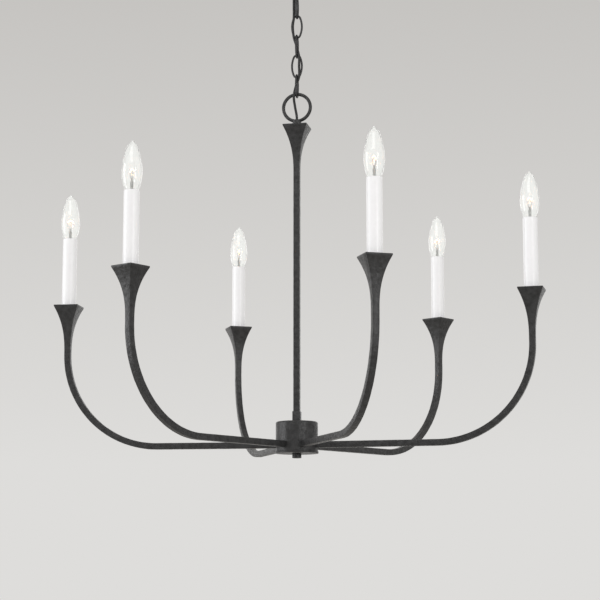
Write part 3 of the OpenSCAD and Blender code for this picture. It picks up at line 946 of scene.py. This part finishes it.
@dataclass
class Chain:
    """Six oval links of round wire, each closed by a weld half way down one leg."""

    length: float = 38.8
    width: float = 19.0
    wire: float = 3.2
    end_radius: float = 5.4

    def oval(self, points: int = 104) -> np.ndarray:
        """Centreline of four tangent arcs, evenly walked: small at the ends, wide at the sides.

        A side arc's centre is s past the axis, where s = (c^2 - d^2) / (2 d), c being the end
        arcs' centre height and d the half width less the end radius.

        Args:
            points: Points round the oval.

        Returns:
            Points (across, up).
        """
        half, r = (self.width - self.wire) / 2, self.end_radius
        c, d = (self.length - self.wire) / 2 - r, half - r
        s = (c * c - d * d) / (2 * d)
        t = math.atan2(c, s)
        side = np.linspace(-t, t, 60)
        end = np.linspace(t, np.pi - t, 60)[1:-1]
        right = np.stack([(half + s) * np.cos(side) - s, (half + s) * np.sin(side)], -1)
        top = np.stack([r * np.cos(end), c + r * np.sin(end)], -1)
        walk = np.vstack([right, top, -right, -top])
        closed = np.vstack([walk, walk[:1]])
        far = np.concatenate([[0], np.cumsum(np.linalg.norm(np.diff(closed, axis=0), axis=1))])
        even = np.arange(points) / points * far[-1]
        return np.stack([np.interp(even, far, closed[:, k]) for k in (0, 1)], -1)

    def link(self, number: int, face: LinkFace) -> None:
        """One link at its CAD node's middle.

        Args:
            number: 1 is the top link.
            face: Which way its opening faces.
        """
        low, high = low_high(f"chain_link_{number}")
        middle = (low[2] + high[2]) / 2
        flat = self.oval()
        zero = 0 * flat[:, 0]
        across, facing = (flat[:, 0], zero) if face is LinkFace.FRONT else (zero, flat[:, 0])
        path = np.stack([across, facing, flat[:, 1] + middle], -1)
        seam = np.hypot(flat[:, 0] + self.width / 2, flat[:, 1] - 1.5)
        swell = 0.22 * np.exp(-((seam / 1.5) ** 2))
        side = np.array([0.0, 1.0, 0.0] if face is LinkFace.FRONT else [1.0, 0.0, 0.0])
        rings = round_wire(path, self.wire / 2 + swell, side, 16, loop=True)
        finish_piece(Draft().loft(rings, loop=True), f"oval_link_{number}", CHAIN_IRON,
                     f"link_{number}", (f"chain_link_{number}",), 60)

    def build(self) -> None:
        """Odd links face the front and even links the side."""
        for i in LINKS:
            self.link(i, LinkFace.FRONT if i % 2 else LinkFace.SIDE)


@dataclass
class CeilingFitting:
    """Canopy, its loop and the fluted ring that pulls it up to the ceiling."""

    radius: float = 63.5
    depth: float = 25.0
    edge_round: float = 8.0
    skin: float = 1.2
    loop_outside: float = 30.0
    loop_rod: float = 4.5
    flutes: int = 36

    def canopy(self) -> None:
        """Spun shell with a rounded shoulder, its rim rolled by a hair at the ceiling."""
        r, h, e, k = self.radius, self.depth, self.edge_round, self.skin
        roll = np.radians(np.linspace(0, 90, 13))
        outer = np.stack([r - e + e * np.cos(roll), -(h - e + e * np.sin(roll))], -1)
        inner = np.stack([r - e + (e - k) * np.cos(roll), -(h - e + (e - k) * np.sin(roll))], -1)
        profile = np.vstack([[[r - k, 0.0], [r - 0.3, 0.0], [r, -0.3], [r, -8.0]], outer,
                             [[40.0, -h], [20.0, -h], [8.3, -h], [8.3, -h + k], [20.0, -h + k]],
                             inner[::-1], [[r - k, -8.0]]])
        iron_piece(Draft().loft(lathe(profile, 112), loop=True), "spun_canopy", "canopy", "ceiling")

    def loop(self) -> None:
        """Threaded stem, round collar and loop, cast in one, with the cord's hole down it."""
        low = low_high("canopy_loop")[0][2]
        middle = low + self.loop_outside / 2
        t = np.arange(80) * 2 * np.pi / 80
        r = (self.loop_outside - self.loop_rod) / 2
        path = np.stack([0 * t, r * np.cos(t), middle + r * np.sin(t)], -1)
        ring = round_wire(path, self.loop_rod / 2, np.array([1.0, 0.0, 0.0]), 18, loop=True)
        z = np.arange(-31.0, -14.0, 0.3)
        thread = np.stack([7.85 + 0.13 * np.cos(2 * np.pi * z / 1.4), z], -1)
        head = self.loop_outside / 2 + middle - self.loop_rod - 0.4
        profile = np.vstack([[[2.5, head], [6.2, head], [7.0, head + 0.8], [7.0, -34.3],
                              [7.9, -33.7]], thread, [[7.7, -14.0], [5.1, -14.0],
                              [5.1, -20.4], [2.5, -20.5]]])
        draft = Draft().loft(ring, loop=True).loft(lathe(profile, 48), loop=True)
        iron_piece(draft, "canopy_hook_loop", "canopy_loop", "ceiling")

    def ring(self) -> None:
        """Round nut with flutes for the fingers: radius 12.7 + 0.3 cos(flutes x angle)."""
        low, high = low_high("collar_ring")
        t = np.arange(self.flutes * 6) * 2 * np.pi / (self.flutes * 6)
        rows = np.array([[8.1, low[2], 0.0], [11.6, low[2], 0.0], [12.6, low[2] + 0.6, 0.6],
                         [12.7, low[2] + 1.4, 1.0], [12.7, high[2] - 1.2, 1.0],
                         [12.5, high[2] - 0.4, 0.5], [11.9, high[2], 0.0], [8.1, high[2], 0.0]])
        radius = rows[:, :1] + 0.3 * rows[:, 2:] * np.cos(self.flutes * t)
        rings = np.stack([radius * np.cos(t), radius * np.sin(t), rows[:, 1:2] + 0 * t], -1)
        draft = Draft().loft(rings, loop=True)
        iron_piece(draft, "fluted_collar_ring", "collar_ring", "ceiling")

    def build(self) -> None:
        """The three iron pieces under the ceiling."""
        self.canopy()
        self.loop()
        self.ring()


# ---- candles -------------------------------------------------------------------------------


@dataclass
class Candles:
    """White sleeves and clear torpedo bulbs on the six cups, all round a vertical axis."""

    sleeve_radius: float = 11.0
    sleeve_wall: float = 1.2
    bulb_radius: float = 14.5
    bulb_height: float = 71.0
    glass: float = 0.6
    cap_radius: float = 6.0
    cap_height: float = 22.0
    cap_below: float = 8.0

    def sleeve(self, height: float) -> np.ndarray:
        """Tube with eased edges: outside, over the lip and down inside.

        Args:
            height: The sleeve's height.

        Returns:
            Rings that close on themselves.
        """
        r, w = self.sleeve_radius, self.sleeve_wall
        lip = np.radians(np.linspace(0, 180, 9))
        over = np.stack([r - w / 2 + w / 2 * np.cos(lip), height - w / 2 + w / 2 * np.sin(lip)], -1)
        rows = np.vstack([[[r - w, 0.0], [r - 0.2, 0.0], [r, 0.2], [r, 30.0], [r, 70.0]], over,
                          [[r - w, 60.0]]])
        return lathe(rows, 72)

    def envelope(self) -> np.ndarray:
        """Blown torpedo: a smooth outline, and the same again a wall's thickness inside."""
        share = np.array([(0, .62), (.06, .73), (.13, .855), (.22, .95), (.31, .99), (.39, 1),
                          (.47, .975), (.55, .92), (.63, .845), (.7, .765), (.77, .68),
                          (.84, .575), (.89, .475), (.93, .35), (.965, .205), (.985, .11),
                          (1, .03)])
        keys = np.stack([share[:, 1] * self.bulb_radius, share[:, 0] * self.bulb_height], -1)
        keys = np.vstack([[[5.3, -7.9], [7.0, -3.5]], keys])
        outer = curve_through(keys, 5)
        inner = outer[:-9] - [self.glass, 0.0]
        inner[:, 0] = np.maximum(inner[:, 0], 0.25)
        return lathe(np.vstack([outer, inner[::-1]]), 64)

    def stem(self) -> np.ndarray:
        """Glass tube that flares in the cap, narrows and ends in the flattened press."""
        rows = np.array([[4.6, -16.0], [4.2, -14.0], [2.9, -9.0], [2.3, -4.0], [2.1, 2.0],
                         [2.05, 7.0], [2.3, 10.5], [1.9, 12.2], [0.8, 13.0]])
        return lathe(curve_through(rows, 4), 24)

    def button(self) -> np.ndarray:
        """Small glass bead that the support wires spring from, at the end of a thin rod."""
        rows = np.array([[0.55, 12.5], [0.55, 14.2], [1.15, 14.8], [1.35, 15.6], [1.1, 16.4],
                         [0.4, 16.9]])
        return lathe(curve_through(rows, 4), 20)

    def wires(self) -> list[np.ndarray]:
        """Two leads from the press and two supports from the bead, each bent to the filament."""
        lead = np.array([(1.3, 0, 11.5), (2.2, 0, 15.0), (4.4, 0, 20.0), (4.9, 0, 24.5),
                         (4.7, 0, 26.4)])
        prop = np.array([(0.4, 0.9, 15.8), (0.9, 1.9, 20.0), (0.8, 1.2, 25.5), (0.6, 0.2, 29.6)])
        flip = np.array([-1.0, -1.0, 1.0])
        runs = [lead, lead * flip, prop * [1, -1, 1], prop * [-1, 1, 1]]
        side = np.array([0.35, 1.0, 0.1])
        return [round_wire(curve_through(run, 8), 0.2, side, 8) for run in runs]

    def filament(self) -> np.ndarray:
        """Coil carried over the supports: path + r (u cos 2 pi n t + v sin 2 pi n t)."""
        arch = np.array([(4.7, 0, 26.2), (2.6, 0.3, 28.8), (0.6, 0.1, 29.9), (-0.6, -0.1, 29.9),
                         (-2.6, -0.3, 28.8), (-4.7, 0, 26.2)])
        middle = curve_through(arch, 60)
        turn = np.arange(len(middle)) / len(middle) * 2 * np.pi * 26
        coil = 0.42 * np.stack([0 * turn, np.cos(turn), np.sin(turn)], -1)
        return round_wire(middle + coil, 0.14, np.array([0.2, 0.3, 1.0]), 6)

    def cap(self) -> np.ndarray:
        """Brass shell with a rolled thread: radius 5.78 + 0.22 sin(2 pi z / pitch - angle)."""
        z = np.linspace(2.6, self.cap_height, 70)[:, None]
        t = np.arange(48) * 2 * np.pi / 48
        fade = np.clip((z - 3.6) / 1.5, 0, 1) * np.clip((18.0 - z) / 1.5, 0, 1)
        radius = self.cap_radius - 0.22 + 0.22 * fade * np.sin(2 * np.pi * z / 2.54 - t)
        shell = np.stack([radius * np.cos(t), radius * np.sin(t), z + 0 * t], -1)
        rows = np.array([[5.3, self.cap_height], [5.3, 3.0]])
        return np.vstack([shell, lathe(rows, 48)])

    def foot(self) -> np.ndarray:
        """Black glass cone that keeps the bottom contact apart from the shell."""
        rows = np.array([[5.5, 3.3], [5.4, 2.6], [4.3, 1.7], [3.4, 1.1], [3.0, 0.9]])
        return lathe(rows, 32)

    def contact(self) -> np.ndarray:
        """Bead of solder on the bottom."""
        rows = np.array([[3.0, 1.2], [3.0, 0.8], [2.4, 0.35], [1.4, 0.08], [0.4, 0.0]])
        return lathe(rows, 24)

    def build(self) -> None:
        """A sleeve that rides on the frame and a bulb on its own body at each cup."""
        for i in ARMS:
            low, high = low_high(f"candle_sleeve_{i}")
            x, y = (low[:2] + high[:2]) / 2
            spin = turn_about_z(math.atan2(y, x) + 0.9 * i)
            tube = Draft().loft(self.sleeve(high[2] - low[2]) + [x, y, low[2]], loop=True)
            finish_piece(tube, f"white_sleeve_{i}", SLEEVE_PLASTIC, "frame",
                         (f"candle_sleeve_{i}",))
            lip = np.array([x, y, high[2]])
            cap_z = np.array([x, y, high[2] - self.cap_below - self.cap_height])
            body = f"bulb_body_{i}"
            closed, open_ended, sharp = True, False, 38
            shapes = (
                ("torpedo_glass", LAMP_GLASS, "bulb_glass", lip, [self.envelope()], closed, 60),
                ("glass_stem", STEM_GLASS, "bulb_glass", lip, [self.stem(), self.button()],
                 open_ended, 60),
                ("lead_wires", NICKEL_WIRE, "steel", lip, self.wires(), open_ended, 60),
                ("filament", TUNGSTEN, "steel", lip, [self.filament()], open_ended, 60),
                ("screw_cap", BRASS, "brass", cap_z, [self.cap()], closed, sharp),
                ("cap_insulator", BLACK_GLASS, "socket_plastic", cap_z, [self.foot()],
                 open_ended, sharp),
                ("solder_contact", SOLDER, "steel", cap_z, [self.contact()], open_ended, 60),
            )
            for name, finish, slot, place, runs, loop, edge in shapes:
                draft = Draft()
                for run in runs:
                    draft.loft(run @ spin.T + place, loop=loop)
                stands = (f"bulb_{i}",) if finish is LAMP_GLASS else ()
                finish_piece(draft, f"{name}_{i}", finish, body, stands, edge)


# ---- hidden hardware -----------------------------------------------------------------------


@dataclass
class Hardware:
    """CAD nodes whose shape is right, given the finish of the real ones."""

    def build(self) -> None:
        """One finish for each node that stays."""
        finishes = {
            ZINC_STEEL: ["crossbar", "box_screws", "hub_rod", "hub_nut", "arm_nuts"],
            GREEN_ENAMEL: ["ground_screw"],
            BRASS: ["canopy_nipple", "nipple_nuts", "socket_nipples"],
            WIRE_NUT_PLASTIC: ["wire_nuts"],
            WIRE_PLASTIC: ["lamp_wires"],
            PHENOLIC: [f"socket_{i}" for i in ARMS],
        }
        for finish, nodes in finishes.items():
            for node in nodes:
                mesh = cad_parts[node].data
                mesh.materials.clear()
                mesh.materials.append(finish.material())
                LOG.info("%s keeps its CAD shape, finished as %s", node, finish.name)


def main() -> None:
    """Builds the room and the chandelier."""
    logging.basicConfig(level=logging.INFO, format="%(message)s")
    bar, plate = SquareBar(), FlaredPlate()
    Room().build()
    SupplyCord().build()
    for part in (CeilingFitting(), Chain(), Column(bar, plate), Hub(), Arms(bar, plate),
                 Candles(), Hardware()):
        part.build()


if __name__ == "__main__":
    main()
